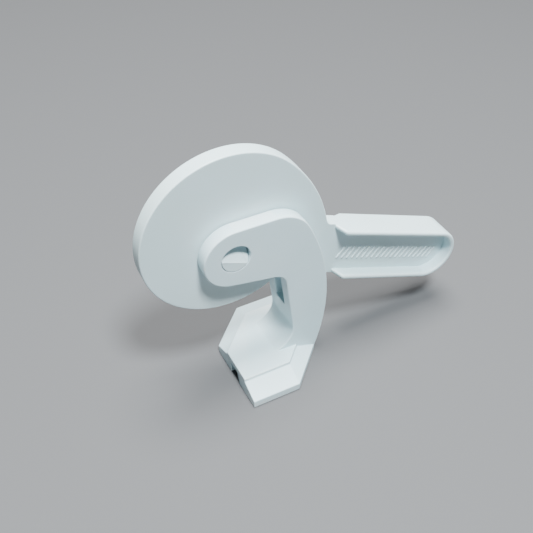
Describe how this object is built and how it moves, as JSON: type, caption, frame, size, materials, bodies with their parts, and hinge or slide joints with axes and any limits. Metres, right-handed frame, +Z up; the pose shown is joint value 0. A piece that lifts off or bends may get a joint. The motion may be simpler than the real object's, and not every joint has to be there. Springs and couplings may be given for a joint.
{
  "type": "cam lever latch",
  "caption": "White plastic cam latch: a forked C-shaped frame on a hexagonal foot, and an eccentric disc with a channelled lever that turns on a pivot pin to clamp what is under it.",
  "frame": {"origin": "centre of the bounding box at the foot's underside, on the table", "axes": "+X the way the lever points, +Y away from the front along the pivot, +Z up"},
  "size_m": [0.1026, 0.037, 0.0788],
  "materials": {
    "frame": "white moulded plastic, satin",
    "cam_lever": "white moulded plastic, satin",
    "pivot_pin": "white moulded plastic, satin"
  },
  "bodies": {
    "frame": {"frame": "frame"},
    "lever": {"cam_lever": "cam_lever", "pivot_pin": "pivot_pin"}
  },
  "joints": [
    {"name": "cam_pivot", "type": "hinge", "parent": "frame", "child": "lever", "pos_m": [-0.02655, 0, 0.0493], "axis": [0, -1, 0], "range_deg": [0, 184]}
  ]
}
